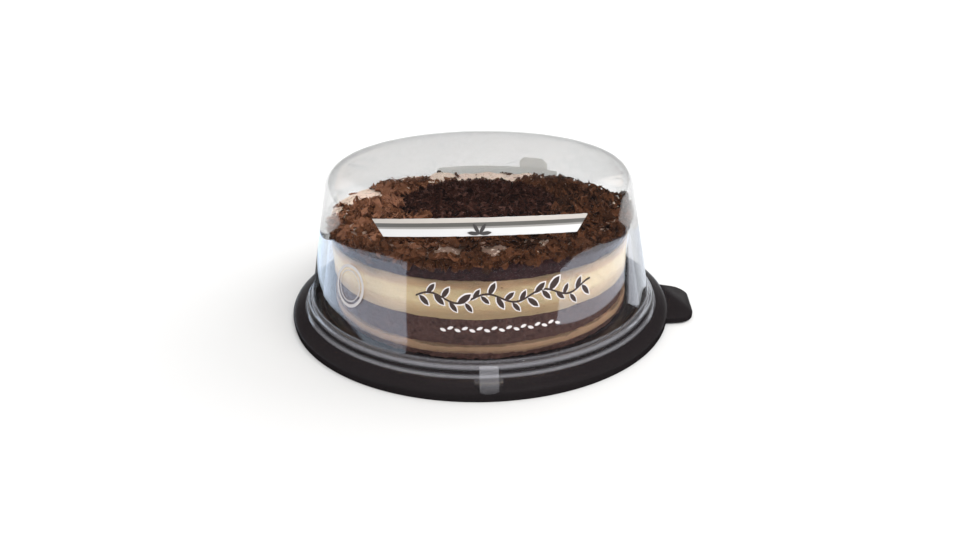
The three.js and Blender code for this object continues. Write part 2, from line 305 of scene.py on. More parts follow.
def align_normals():
    """In edit mode, makes the normals of all faces agree."""
    select_all()
    bpy.ops.mesh.normals_make_consistent(inside=False)


def apply_modifier(obj, kind, **settings):
    """Adds a modifier with its settings and applies it."""
    modifier = obj.modifiers.new(kind.title(), kind)
    for key, value in settings.items():
        setattr(modifier, key, value)
    make_active(obj)
    bpy.ops.object.modifier_apply(modifier=modifier.name)


def thicken(obj, thickness, offset, even=False):
    """Gives a surface a thickness: outwards at an offset of 1, to both sides at 0, inwards at -1."""
    apply_modifier(obj, "SOLIDIFY", thickness=thickness, offset=offset, use_even_offset=even)


def deform(obj, method, axis, angle):
    """Twists or bends a piece."""
    apply_modifier(obj, "SIMPLE_DEFORM", deform_method=method, deform_axis=axis, angle=angle)


def roughen(obj, kind, scale, strength, middle=0.5, depth=2):
    """Displaces a piece along its normals by a noise of a size and strength."""
    texture = bpy.data.textures.new(f"{obj.name}_{kind.lower()}", kind)
    texture.noise_scale = scale
    if kind == "CLOUDS":
        texture.noise_depth = depth
    noise = {"texture": texture, "texture_coords": "LOCAL"}
    apply_modifier(obj, "DISPLACE", **noise, strength=strength, mid_level=middle)
    bpy.data.textures.remove(texture)


def smooth(obj, degrees=35):
    """Shades a piece smooth across its shallow edges."""
    make_active(obj)
    bpy.ops.object.shade_smooth_by_angle(angle=math.radians(degrees))


def traced(name, places):
    """In edit mode, a line of vertices through a list of places."""
    obj = primitive("plane", name, size=MM)
    bpy.ops.mesh.select_mode(type="VERT")
    bpy.ops.mesh.merge(type="CENTER")
    move(*places[0])
    for before, place in zip(places, places[1:]):
        bpy.ops.mesh.extrude_vertices_move(TRANSFORM_OT_translate={"value": place - before})
    select_all()
    return obj


def spun(name, profile, steps, sweep=2 * math.pi, start=0.0):
    """A surface that a profile of (radius, height) points makes round the axis, facing up and out."""
    obj = traced(name, [polar(radius, start, height) for radius, height in profile])
    bpy.ops.mesh.spin(steps=steps, angle=sweep, center=AXIS, axis=UP)
    select_all()
    bpy.ops.mesh.remove_doubles(threshold=0.01 * MM)
    align_normals()

    def rank(face):
        middle = face.calc_center_median()
        return middle.z + 0.1 * middle.xy.length

    mesh = bmesh.from_edit_mesh(obj.data)
    top = max(mesh.faces, key=rank)
    if top.normal.dot(polar(1.0, turn_of(top.calc_center_median()), 1.0) - AXIS) < 0:
        bpy.ops.mesh.flip_normals()
    end_edit()
    return obj


def join(objects, name):
    """Joins objects into one piece."""
    make_active(objects[0])
    for obj in objects[1:]:
        obj.select_set(True)
    bpy.ops.object.join()
    return named(name)


def scattered(name, models, places):
    """Copies of a few models at (matrix, shade) places, joined; each keeps its shade."""
    copies = []
    for index, (matrix, shade) in enumerate(places):
        mesh = models[index % len(models)].data.copy()
        mesh.transform(matrix)
        shades = mesh.attributes.new("shade", "FLOAT", "POINT")
        shades.data.foreach_set("value", [shade] * len(mesh.vertices))
        copies.append(linked(name, mesh))
    piece = join(copies, name)
    for model in models:
        bpy.data.objects.remove(model)
    return piece


def strewn(obj, count, inner, outer, draw):
    """Random points, each with its normal, on an object's top between two distances from the axis."""
    tree = BVHTree.FromObject(obj, bpy.context.evaluated_depsgraph_get())
    hits = []
    while len(hits) < count:
        distance = math.sqrt(draw.uniform(inner ** 2, outer ** 2))
        above = polar(distance, draw.uniform(-math.pi, math.pi), ABOVE_CAKE)
        point, normal, _, _ = tree.ray_cast(above, DOWN)
        if point is not None:
            hits.append((point, normal))
    return hits


def any_turn(draw):
    """A random direction."""
    return draw.uniform(0.0, 6.28)


def tips(draw, loose):
    """A random pitch and roll, most often less than an angle, and a random direction."""
    return draw.gauss(0, loose), draw.gauss(0, loose), any_turn(draw)


def laid_on(point, normal, lift, pitch, roll, turn):
    """A matrix that lays a piece on a surface, tipped and turned."""
    lie = normal.to_track_quat("Z", "Y").to_matrix().to_4x4()
    tip = Euler((pitch, roll, 0.0)).to_matrix().to_4x4()
    return Matrix.Translation(point + normal * lift) @ lie @ Matrix.Rotation(turn, 4, "Z") @ tip


def settle(piece, material, node):
    """Gives a finished piece its material and body, and hides the node it stands for."""
    piece.data.materials.clear()
    piece.data.materials.append(material)
    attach(piece, "root")
    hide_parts(node)


# ---- materials ----------------------------------------------------------------------


class Finish:
    """A node tree under construction, of a new material or of a given world."""

    def __init__(self, name, world=None):
        self.block = world or bpy.data.materials.new(name)
        self.block.use_nodes = True
        self.tree = self.block.node_tree
        self.tree.nodes.clear()

    def node(self, kind, inputs=None, **settings):
        """Adds a node; an input is a number, a colour or the output it's linked to."""
        node = self.tree.nodes.new("ShaderNode" + kind)
        for key, value in settings.items():
            setattr(node, key, value)
        for key, value in (inputs or {}).items():
            socket = node.inputs[key]
            if isinstance(value, bpy.types.NodeSocket):
                self.tree.links.new(value, socket)
            else:
                socket.default_value = (*value, 1.0) if socket.type == "RGBA" else value
        return node

    def add(self, kind, inputs=None, output=0, **settings):
        """Adds a node and returns one of its outputs."""
        return self.node(kind, inputs, **settings).outputs[output]

    def place(self, scale=(1.0, 1.0, 1.0)):
        """Object coordinates centred on the tray's axis."""
        shift = tuple(-a * s for a, s in zip(AXIS, scale))
        point = self.add("TexCoord", output="Object")
        return self.add("Mapping", {"Vector": point, "Location": shift, "Scale": scale})

    def parts(self, vector):
        """The X, Y and Z of a vector."""
        return self.node("SeparateXYZ", {0: vector}).outputs[:3]

    def maths(self, operation, a, b=0.0, c=0.0):
        """A number worked out from up to three others."""
        return self.add("Math", {0: a, 1: b, 2: c}, operation=operation)

    def times(self, a, b):
        """Two numbers multiplied."""
        return self.maths("MULTIPLY", a, b)

    def span(self, value, low, high, start=0.0, end=1.0):
        """A number that goes from start to end while a value goes from low to high."""
        return self.add("MapRange", {0: value, 1: low, 2: high, 3: start, 4: end})

    def noise(self, vector, scale, detail=3.0, roughness=0.5):
        """Cloudy noise between 0 and 1."""
        inputs = {"Vector": vector, "Scale": scale, "Detail": detail, "Roughness": roughness}
        return self.add("TexNoise", inputs)

    def cells(self, vector, scale):
        """Distance to the nearest of scattered points."""
        return self.add("TexVoronoi", {"Vector": vector, "Scale": scale})

    def ramp(self, factor, stops):
        """A colour picked from (place, colour) stops, which are in order."""
        node = self.node("ValToRGB", {0: factor})
        elements = node.color_ramp.elements
        while len(elements) < len(stops):
            elements.new(0.5)
        for element, (place, shade) in zip(elements, stops):
            element.position = place
            element.color = (*shade, 1.0)
        return node.outputs[0]

    def mix(self, factor, a, b):
        """One colour laid over another."""
        return self.add("Mix", {0: factor, 6: a, 7: b}, output=2, data_type="RGBA")

    def bump(self, height, distance):
        """A normal that follows a height."""
        return self.add("Bump", {"Height": height, "Distance": distance})

    def principled(self, tone, roughness, normal=None, **inputs):
        """A principled surface."""
        inputs = {key.replace("_", " "): value for key, value in inputs.items()}
        inputs.update({"Base Color": tone, "Roughness": roughness})
        if normal is not None:
            inputs["Normal"] = normal
        return self.add("BsdfPrincipled", inputs)

    def blend(self, share, a, b):
        """A share of the second surface, mixed into the first."""
        return self.add("MixShader", {0: share, 1: a, 2: b})

    def end(self, shader, kind="Material"):
        """Ends the tree in a shader and returns what it belongs to."""
        self.node("Output" + kind, {0: shader})
        return self.block

    def surface(self, tone, roughness, normal=None, **inputs):
        """Ends the tree in a principled surface and returns the material."""
        return self.end(self.principled(tone, roughness, normal, **inputs))


def shade_of(tone, factor):
    """A colour made darker or lighter."""
    return tuple(min(channel * factor, 1.0) for channel in tone)


def tray_plastic(black):
    """Glossy formed black plastic, slightly wavy, with fine scuffs."""
    finish = Finish("tray_plastic")
    point = finish.place()
    waves = finish.noise(point, 60.0, 1.0)
    scuffs = finish.noise(point, 900.0, 2.0, 0.6)
    tone = finish.mix(scuffs, shade_of(black, 0.85), shade_of(black, 1.25))
    roughness = finish.span(scuffs, 0.0, 1.0, 0.17, 0.30)
    return finish.surface(tone, roughness, finish.bump(waves, 0.08 * MM), Specular_IOR_Level=0.5)


# The lug's strip with a painted sheen: half its width, how far in and how high it reaches, and the heights
# between which its painted sheen goes from one share to the other.
TONGUE_HALF = 4.2 * MM
TONGUE_DEPTH = 4.0 * MM
TONGUE_TOP = 12.0 * MM
TONGUE_SHEEN_FADE = (5.5 * MM, 8.2 * MM, 0.02, 0.075)

# How unevenly the colours of a cream layer run into each other.
SMEAR = 5.0 * MM


def clear_film(name, tint, gloss=0.04, frost=0.002, bend_white_and_highlights=(), tongue=None):
    """Clear film: it lets light through, shines more at a slant and is whiter at its bends, partly as
    whitened plastic and partly as painted highlight lines.

    Each bend is a height, the half width of its white line and how white it is; each line is partly whitened
    plastic and partly a painted highlight. A tongue is the X and half width of a strip at the front of the
    film's foot with a painted sheen, whiter higher up.
    """
    finish = Finish(name)
    slant = finish.add("LayerWeight", {"Blend": 0.5}, output="Facing")
    shine = finish.maths("MULTIPLY_ADD", finish.maths("POWER", slant, 5.0), 1.0 - gloss, gloss)
    across, along, height = finish.parts(finish.place())
    haze_and_painted_sheen = frost
    # Painted highlight lines at the bends, partly whitened plastic.
    for middle, half, peak in bend_white_and_highlights:
        off = finish.maths("ABSOLUTE", finish.maths("SUBTRACT", height, middle))
        haze_and_painted_sheen = finish.maths("ADD", finish.span(off, half, 0.3 * half, 0.0, peak), haze_and_painted_sheen)
    # A painted sheen on the lug's strip, whiter higher up.
    if tongue:
        at_front = finish.maths("LESS_THAN", along, TONGUE_DEPTH - FLANGE_RADIUS)
        strip = finish.times(finish.maths("COMPARE", across, *tongue), at_front)
        below = finish.maths("LESS_THAN", height, TONGUE_TOP)
        fade = finish.times(finish.span(height, *TONGUE_SHEEN_FADE), below)
        haze_and_painted_sheen = finish.maths("MULTIPLY_ADD", strip, fade, haze_and_painted_sheen)
    through = finish.add("BsdfTransparent", {0: tint})
    mist_and_painted_sheen = finish.add("BsdfDiffuse", {0: (0.85, 0.85, 0.92)})
    mirror = finish.add("BsdfGlossy", {"Color": (1.0, 1.0, 1.0), "Roughness": 0.03})
    return finish.end(finish.blend(shine, finish.blend(haze_and_painted_sheen, through, mist_and_painted_sheen), mirror))


def sponge_crumb(name, brown):
    """Dark open crumb with lighter grains, and painted shade in its pores."""
    finish = Finish(name)
    point = finish.place()
    grain = finish.noise(point, 700.0, 4.0, 0.65)
    pores = finish.cells(point, 420.0)
    tone = finish.ramp(grain, [(0.30, shade_of(brown, 0.45)), (0.52, brown), (0.75, shade_of(brown, 2.1))])
    tone = finish.mix(finish.noise(point, 90.0, 2.0), tone, shade_of(brown, 1.35))
    # Painted shade: darker in the pores.
    pore_shade = finish.times(finish.maths("LESS_THAN", pores, 0.22), 0.55)
    tone = finish.mix(pore_shade, tone, shade_of(brown, 0.25))
    height = finish.maths("ADD", finish.times(grain, 0.6), finish.times(pores, 0.8))
    return finish.surface(tone, 0.93, finish.bump(height, 0.5 * MM), Specular_IOR_Level=0.25)


def layer_cream(name, low, high, middle, lower, upper, slope=0.0):
    """Spread cream whose colour changes towards the layers under and over it, which may slope."""
    finish = Finish(name)
    point = finish.place()
    _, y, z = finish.parts(point)
    smear = finish.noise(finish.place((0.35, 0.35, 1.6)), 160.0, 3.0, 0.6)
    streaks = finish.noise(finish.place((0.2, 0.2, 3.0)), 240.0, 2.0, 0.5)
    level = finish.maths("MULTIPLY_ADD", y, slope, z)
    wobble = finish.maths("MULTIPLY_ADD", smear, SMEAR, level)
    share = finish.span(wobble, low + SMEAR / 2, high + SMEAR / 2)
    stops = [(0.14, lower), (0.34, middle), (0.66, middle), (0.80, upper)]
    tone = finish.ramp(share, [(0.0, shade_of(lower, 0.75)), *stops, (1.0, shade_of(upper, 0.32))])
    tone = finish.mix(finish.times(streaks, 0.4), tone, shade_of(middle, 0.8))
    specks = finish.times(finish.maths("LESS_THAN", finish.cells(point, 260.0), 0.10), 0.7)
    tone = finish.mix(specks, tone, shade_of(lower, 0.35))
    height = finish.maths("ADD", smear, finish.times(finish.noise(point, 800.0, 2.0), 0.3))
    bump = finish.bump(height, 0.6 * MM)
    return finish.surface(tone, 0.55, bump, Subsurface_Weight=0.08, Subsurface_Scale=2.0 * MM)


def soft_cream(name, white):
    """Whipped cream, a little uneven, with painted shade where its folds lie low, and dusted with chocolate,
    most at the front.
    """
    finish = Finish(name)
    point = finish.place()
    folds = finish.noise(point, 180.0, 3.0, 0.6)
    dust = finish.noise(point, 520.0, 4.0, 0.7)
    front = finish.span(finish.parts(point)[1], 20 * MM, -40 * MM)
    dusted = finish.span(finish.maths("MULTIPLY_ADD", front, 0.22, dust), 0.56, 0.66)
    # Painted shade: darker where the folds lie low.
    tone = finish.mix(folds, shade_of(white, 0.80), white)
    tone = finish.mix(finish.times(dusted, 0.85), tone, (0.15, 0.07, 0.04))
    bump = finish.bump(folds, 0.5 * MM)
    return finish.surface(tone, 0.5, bump, Subsurface_Weight=0.1, Subsurface_Scale=2.0 * MM)


def chocolate(name, brown, spread, roughness, grain=500.0):
    """Chocolate whose shade differs from flake to flake, at random and on the rim also by painted light,
    with a matt bloom; its palest shade is greyed by a painted veil of reflection.
    """
    finish = Finish(name)
    shade = finish.add("Attribute", output="Fac", attribute_name="shade")
    darkest, pale = shade_of(brown, 1 - spread), shade_of(brown, 1 + 0.6 * spread)
    # The palest stop adds grey: a painted veil of reflection, which the left flakes reach most.
    palest_with_painted_veil = tuple(0.03 + channel for channel in shade_of(brown, 1 + 2.4 * spread))
    tone = finish.ramp(shade, [(0.0, darkest), (0.45, brown), (0.8, pale), (1.0, palest_with_painted_veil)])
    bloom = finish.noise(finish.place(), grain, 4.0, 0.6)
    tone = finish.mix(finish.times(bloom, 0.5), tone, shade_of(brown, 0.55))
    return finish.surface(tone, roughness, finish.bump(bloom, 0.25 * MM), Specular_IOR_Level=0.14)


def printed_paper(name, white, normal=UP, bands=(), glow=0.0):
    """Semi-gloss paper with straight bands, each two offsets along a normal and a colour.

    Glow is the share of light that shines through the paper from behind.
    """
    finish = Finish(name)
    point = finish.place()
    fibre = finish.noise(point, 1500.0, 3.0, 0.6)
    tone = finish.mix(fibre, shade_of(white, 0.96), white)
    for low, high, ink in bands:
        offset = finish.add("VectorMath", {0: point, 1: normal}, output="Value", operation="DOT_PRODUCT")
        tone = finish.mix(finish.maths("COMPARE", offset, (low + high) / 2, (high - low) / 2), tone, ink)
    paper = finish.principled(tone, 0.42, finish.bump(fibre, 0.03 * MM), Specular_IOR_Level=0.45)
    if glow:
        paper = finish.blend(glow, paper, finish.add("BsdfTranslucent", {0: white}))
    return finish.end(paper)


def print_ink(name, ink):
    """Printed ink, slightly uneven."""
    finish = Finish(name)
    mottle = finish.noise(finish.place(), 1200.0, 2.0)
    return finish.surface(finish.mix(mottle, shade_of(ink, 0.85), shade_of(ink, 1.1)), 0.45)


# ---- the tray -----------------------------------------------------------------------


def tray_profile(settings):
    """The tray's upper face, from the middle of its floor to its lower edge."""
    floor, top, edge = settings.floor_height, settings.bead_height, RIM_RADIUS
    return [
        (0.0, floor),
        (edge - 17.2 * MM, floor),
        (edge - 15.2 * MM, top - 1.1 * MM),
        (edge - 13.0 * MM, top),
        (edge - 11.8 * MM, top - 0.3 * MM),
        (edge - 10.8 * MM, top - 1.7 * MM),
        (edge - 8.8 * MM, floor),
        (edge - 6.0 * MM, floor - 0.5 * MM),
        (edge - 1.8 * MM, floor - 1.9 * MM),
        (edge, 4.3 * MM),
        (edge, 2.1 * MM),
        (edge - 0.3 * MM, 0.0),
    ]


def tab_plate(settings):
    """The tray's side tab: a rounded plate, narrower at its end, with a turned-down edge."""
    end = TAB_REACH - 0.5 * MM
    root = end - 33.5 * MM
    root_width, end_width, corner = 51.0 * MM, 35.6 * MM, 8.0 * MM
    edge_height, step_width, step_rise, edge_drop = 3.3 * MM, 1.6 * MM, 1.0 * MM, 2.4 * MM
    tab = primitive("plane", "tab_plate", size=1.0)
    resize(end - root, root_width, 1.0)
    move((end + root) / 2, 0.0, edge_height)
    select_where(tab, "VERT", lambda co: co.x > end - MM)
    resize(1.0, end_width / root_width, 1.0)
    bpy.ops.mesh.bevel(offset=corner, offset_type="OFFSET", segments=8, affect="VERTICES")
    select_where(tab, "FACE", lambda co: True)
    bpy.ops.mesh.inset(thickness=step_width)
    move(0.0, 0.0, step_rise)
    select_where(tab, "EDGE", lambda co: co.z < edge_height + 0.3 * MM)
    extrude_edges(0.0, 0.0, -edge_drop)
    align_normals()
    rotate(settings.tab_turn, "Z")
    move(*AXIS)
    end_edit()
    thicken(tab, settings.sheet, -1.0)
    return tab


def build_tray(settings):
    """Models the tray and gives it its plastic."""
    tray = spun("tray", rounded(tray_profile(settings), 1.1 * MM), AROUND)
    thicken(tray, settings.sheet, -1.0, even=True)
    tab = tab_plate(settings)
    apply_modifier(tray, "BOOLEAN", operation="UNION", solver="EXACT", object=tab)
    bpy.data.objects.remove(tab)
    smooth(tray)
    settle(tray, tray_plastic(settings.black), "base_tray")


# ---- the lid ------------------------------------------------------------------------

# The lug's edge is extruded in steps: how far out and down each goes in mm, and how much narrower it ends.
LUG_STEPS = ((2.8, 0.0, 1.0), (2.6, 0.8, 0.94), (1.6, 0.9, 0.80), (0.9, 0.6, 0.55))
LUG_HALF = math.radians(4.8)

# The film's white lines where it bends, each partly whitened plastic and partly a painted highlight: a
# height and half a width in mm, and how white it is.
FILM_WHITE_AND_HIGHLIGHT_LINES = ((13.4, 0.7, 0.06), (11.4, 1.3, 0.10), (8.1, 0.9, 0.09))


def lid_draft(lid):
    """How far the wall leans in from the upright."""
    run = lid.foot_radius - lid.roof_radius - lid.shoulder
    return math.atan2(run, lid.height - lid.shoulder - lid.foot_height)


def lid_face(lid, distance, lift=0.0):
    """Radius and height on the lid's outer face, at a distance over the shoulder from the wall's top."""
    draft = lid_draft(lid)
    angle = draft + max(distance, 0.0) / lid.shoulder
    down = min(distance, 0.0)
    reach = lid.shoulder + lift
    radius = lid.roof_radius + reach * math.cos(angle) - down * math.sin(draft)
    return radius, lid.height - lid.shoulder + reach * math.sin(angle) + down * math.cos(draft)


def wall_distance(lid, height):
    """The distance along the wall of a height on it."""
    return (height - lid_face(lid, 0.0)[1]) / math.cos(lid_draft(lid))


def on_face(lid, distance, turn, lift):
    """A matrix that lays a flat piece on the lid: its X goes round the lid, its Y up and its Z out."""
    radius, height = lid_face(lid, distance, lift)
    slope = lid_draft(lid) + max(distance, 0.0) / lid.shoulder
    across = polar(1.0, turn + math.pi / 2) - AXIS
    out = polar(math.cos(slope), turn, math.sin(slope)) - AXIS
    turned = Matrix((across, out.cross(across), out)).transposed().to_4x4()
    return Matrix.Translation(polar(radius, turn, height)) @ turned


def lid_profile(lid):
    """The lid's outer face, from the middle of the roof to the flange's edge."""
    quarter = (math.pi / 2 - lid_draft(lid)) * lid.shoulder
    shoulder = [lid_face(lid, quarter * (1 - step / 10)) for step in range(11)]
    foot_distance = wall_distance(lid, lid.foot_height)
    wall = [lid_face(lid, foot_distance * step / 8) for step in range(1, 8)]
    flange = [
        (FLANGE_RADIUS - 3.5 * MM, lid.foot_height - 0.8 * MM),
        (FLANGE_RADIUS - 2.8 * MM, 10.9 * MM),
        (FLANGE_RADIUS - 2.0 * MM, 9.8 * MM),
        (FLANGE_RADIUS - 0.9 * MM, 9.0 * MM),
        (FLANGE_RADIUS, 7.5 * MM),
    ]
    foot = rounded([wall[-1], lid_face(lid, foot_distance), *flange], 0.7 * MM)
    return [(0.0, lid.height), *shoulder, *wall, *foot[1:]]


def build_lid(lid):
    """Models the clear lid with its lug."""
    dome = spun("lid", lid_profile(lid), AROUND)

    def at_lug(co):
        return distance_of(co) > FLANGE_RADIUS - 0.2 * MM and apart(turn_of(co), lid.lug_turn) < LUG_HALF

    edit(dome)
    select_where(dome, "EDGE", at_lug)
    outward = polar(1.0, lid.lug_turn) - AXIS
    for reach, drop, width in LUG_STEPS:
        extrude_edges(*(outward * reach * MM - Vector((0, 0, drop * MM))))
        resize(width, 1.0, 1.0, polar(FLANGE_RADIUS, lid.lug_turn))
    end_edit()
    thicken(dome, lid.film, -1.0, even=True)
    smooth(dome)
    # The white lines at the bends are partly painted highlights; the lug's strip has a painted sheen.
    bend_white_and_highlights = [(height * MM, half * MM, peak) for height, half, peak in FILM_WHITE_AND_HIGHLIGHT_LINES]
    tongue = (FLANGE_RADIUS * math.cos(lid.lug_turn), TONGUE_HALF)
    settle(dome, clear_film("lid_film", lid.tint, bend_white_and_highlights=bend_white_and_highlights, tongue=tongue), "lid_dome")


# ---- the cake's layers --------------------------------------------------------------

# Name, node, height of the top in mm, how far the edge stands out in mm, sort of layer.
LAYERS = (
    ("bottom_sponge", "sponge_bottom", 10.0, 1.2, "sponge"),
    ("coffee_cream", "cream_lower", 14.1, 1.0, "coffee"),
    ("middle_sponge", "sponge_middle", 27.3, -0.3, "sponge"),
    ("vanilla_cream", "cream_middle", 44.8, 0.3, "vanilla"),
    ("top_sponge", "sponge_top", 52.8, -0.5, "top sponge"),
    ("spread_cream", "cream_top", 54.1, -0.1, "whipped"),
)
TOPS = {name: top * MM for name, _, top, _, _ in LAYERS}
CAKE_TOP = TOPS["spread_cream"]
OVERLAP = 0.25 * MM

# The colours of a cream layer's lower and upper edge.
COFFEE_EDGES = ((0.31, 0.18, 0.11), (0.52, 0.32, 0.19))
VANILLA_EDGES = ((0.56, 0.38, 0.20), (0.50, 0.31, 0.17))

# The roughness of each sort of layer's side: kind of noise, its size and strength in mm, middle, depth.
SPONGE_NOISE = (("CLOUDS", 9.0, 1.0, 0.5, 2), ("CLOUDS", 2.2, 1.1, 0.5, 3), ("VORONOI", 2.4, 0.8, 0.35, 2))
CREAM_NOISE = (("CLOUDS", 14.0, 1.3, 0.5, 2), ("CLOUDS", 4.0, 0.6, 0.5, 2))


def lean(obj, cake, height, reach):
    """In edit mode, tips the vertices near a height: the front rises and the back sinks."""
    share = ((height - cake.bottom) / (CAKE_TOP - cake.bottom)) ** 2
    for side, change in ((-1, cake.front_rise), (1, cake.back_drop)):
        select_where(obj, "VERT", lambda co: abs(co.z - height) < reach and (co.y < 0) == (side < 0))
        rotate(-math.atan2(change * share, cake.radius), "X", AXIS + Vector((0, 0, height)))


def top_at(cake, turn):
    """The height of the cake's top edge in a direction."""
    back = math.sin(turn)
    return CAKE_TOP - back * (cake.back_drop if back > 0 else cake.front_rise)


def drum(name, cake, low, high, stand_out):
    """One layer: a closed drum with many rows of small faces up its side, leaning a little."""
    rows = max(2, round((high - low) / CRUMB_ROW))
    radius = cake.radius + stand_out
    side = [(radius, low + (high - low) * row / rows) for row in range(rows + 1)]
    inner = radius - 1.0 * MM
    layer = spun(name, [(0.0, low), (inner, low), *side, (inner, high), (0.0, high)], CAKE_AROUND)
    edit(layer)
    for _, height in side:
        lean(layer, cake, height, 0.05 * MM)
    end_edit()
    return layer


def layer_materials(cake):
    """A material for each sort of layer."""
    slope = (cake.front_rise + cake.back_drop) / (2 * cake.radius)
    coffee = TOPS["bottom_sponge"], TOPS["coffee_cream"], cake.coffee, *COFFEE_EDGES
    vanilla = TOPS["middle_sponge"], TOPS["vanilla_cream"], cake.vanilla, *VANILLA_EDGES
    return {
        "sponge": sponge_crumb("dark_sponge", cake.sponge),
        "top sponge": sponge_crumb("darker_top_sponge", cake.top_sponge),
        "coffee": layer_cream("coffee_cream", *coffee),
        "vanilla": layer_cream("vanilla_cream", *vanilla, slope * 0.6),
        "whipped": soft_cream("spread_cream", cake.whipped),
    }


def build_layers(cake):
    """Models the layers from the bottom up, each reaching a little into the one below."""
    materials = layer_materials(cake)
    low = cake.bottom
    for name, node, top, stand_out, sort in LAYERS:
        overlap = OVERLAP if low > cake.bottom else 0.0
        layer = drum(name, cake, low - overlap, top * MM, stand_out * MM)
        is_sponge = "sponge" in sort
        for kind, scale, strength, middle, depth in SPONGE_NOISE if is_sponge else CREAM_NOISE:
            roughen(layer, kind, scale * MM, strength * MM, middle, depth)
        smooth(layer, 60)
        settle(layer, materials[sort], node)
        low = top * MM


# ---- the toppings -------------------------------------------------------------------


def dollop():
    """A low dollop of whipped cream with a slight swirl, its middle at the origin."""
    lump = primitive("uv_sphere", "dollop", segments=32, ring_count=16, radius=1.0)
    for ridge in range(6):
        turn = ridge * math.pi / 3
        select_where(lump, "VERT", lambda co: apart(math.atan2(co.y, co.x), turn) < 0.2)
        resize(1.10, 1.10, 1.0)
    select_all()
    resize(14.0 * MM, 9.8 * MM, 4.0 * MM)
    end_edit()
    deform(lump, "TWIST", "Z", math.radians(50))
    return lump


def rim_cream(cake, toppings, draw):
    """The ring of cream dollops that carries the flakes, fused into one soft surface."""
    base = CAKE_TOP - 0.4 * MM
    inner, outer = 41.4 * MM, cake.radius - 0.3 * MM
    crown = ((outer, 1.2), (outer - 3 * MM, 1.7), (60 * MM, 2.1), (inner + 2 * MM, 1.6), (inner, 1.0))
    profile = [(inner, base), (outer, base), *((radius, base + rise * MM) for radius, rise in crown)]
    bed = spun("bed", [*profile, (inner, base)], steps=120)
    lump = dollop()
    lumps = []
    for index in range(toppings.dollops):
        turn = 2 * math.pi * (index + draw.uniform(-0.18, 0.18)) / toppings.dollops
        spot = polar(draw.uniform(58.5, 63.0) * MM, turn, base + 1.2 * MM)
        lie = Euler((0, 0, turn + draw.uniform(-0.3, 0.3))).to_matrix().to_4x4()
        stretch = draw.uniform(0.9, 1.12), draw.uniform(0.9, 1.1), draw.uniform(0.85, 1.1)
        lumps.append((Matrix.Translation(spot) @ lie @ Matrix.Diagonal((*stretch, 1.0)), 0.5))
    ring = join([scattered("lumps", [lump], lumps), bed], "rim_cream")
    edit(ring)
    lean(ring, cake, CAKE_TOP, math.inf)
    end_edit()
    apply_modifier(ring, "REMESH", mode="VOXEL", voxel_size=0.9 * MM)
    roughen(ring, "CLOUDS", 7.0 * MM, 1.0 * MM)
    apply_modifier(ring, "SMOOTH", factor=0.5, iterations=3)
    smooth(ring, 60)
    return ring


def flake_model(name, draw, long, wide, curl, thick):
    """One curled flake: an uneven strip that is twisted, bent and given a thickness."""
    flake = primitive("grid", name, x_subdivisions=7, y_subdivisions=3, size=1.0)
    resize(long, wide, 1.0)
    jitter(wide * 0.09, 0.3, draw)
    for end in (-1, 1):
        select_where(flake, "VERT", lambda co: co.x * end > long * 0.4)
        resize(1.0, draw.uniform(0.45, 0.9), 1.0)
    end_edit()
    deform(flake, "TWIST", "X", draw.uniform(-0.5, 0.5))
    deform(flake, "BEND", "Y", curl)
    thicken(flake, thick, 0.0)
    smooth(flake, 50)
    return flake


def flake_models(name, count, draw, long, wide, curls, thick):
    """Flakes whose length, width and curl lie between limits; the limits of the curl take turns."""
    models = []
    for index in range(count):
        sizes = draw.uniform(*long) * MM, draw.uniform(*wide) * MM
        curl = draw.uniform(*curls[index % len(curls)])
        models.append(flake_model(f"{name}_{index}", draw, *sizes, curl, thick))
    return models


def crumb_model(name, draw, size):
    """One small crumb, an uneven lump."""
    crumb = primitive("ico_sphere", name, subdivisions=1, radius=size / 2)
    resize(1.0, draw.uniform(0.6, 0.9), draw.uniform(0.5, 0.8))
    jitter(size * 0.14, 0.5, draw)
    end_edit()
    return crumb


def lid_room(lid, height):
    """The lid's inner radius at a height."""
    return lid_face(lid, wall_distance(lid, height))[0] - lid.film


def fits(model, matrix, lid):
    """Whether all of a flake lies inside the lid."""
    places = [matrix @ vertex.co for vertex in model.data.vertices]
    return all(distance_of(place) < lid_room(lid, place.z) - 0.5 * MM for place in places)


# How far out from the axis the flakes reach, in mm, by direction in degrees: the cream beyond is bare.
FLAKE_REACH = (
    (0, 80), (50, 78), (58, 64), (64, 52), (90, 50), (120, 51), (129, 66), (136, 72), (148, 70), (158, 57),
    (170, 52), (178, 56), (188, 72), (198, 79), (360, 80),
)

# How far the flakes are bent, in radians: of every four, the last is rolled up. Shavings are all alike.
FLAKE_CURLS = ((0.4, 1.6), (0.4, 1.6), (0.4, 1.6), (2.2, 3.6))
SHAVING_CURLS = ((0.2, 1.6),)

# The sizes of the four sorts of crumb in mm.
CRUMB_SIZES = (0.9, 1.3, 1.8, 2.4)

# The direction round which the flakes' painted reflection is strongest, where they are lightest.
PAINTED_GLOW_TURN = math.radians(172)

# Flakes are tried at this many places on a stretch of the cake's edge, and hang lowest in one direction.
HANGING = 380
HANG_START, HANG_SWEEP, HANG_LOWEST = (math.radians(angle) for angle in (-162, 170, -128))


def is_bare(point, draw):
    """Whether a place lies beyond the flakes; the border is uneven, and a few flakes lie over it."""
    turn = math.degrees(turn_of(point)) % 360
    for (before, first), (after, last) in zip(FLAKE_REACH, FLAKE_REACH[1:]):
        if before <= turn <= after:
            reach = first + (last - first) * (turn - before) / (after - before)
    return distance_of(point) > (reach + draw.gauss(0, 1.5)) * MM and draw.random() < 0.96


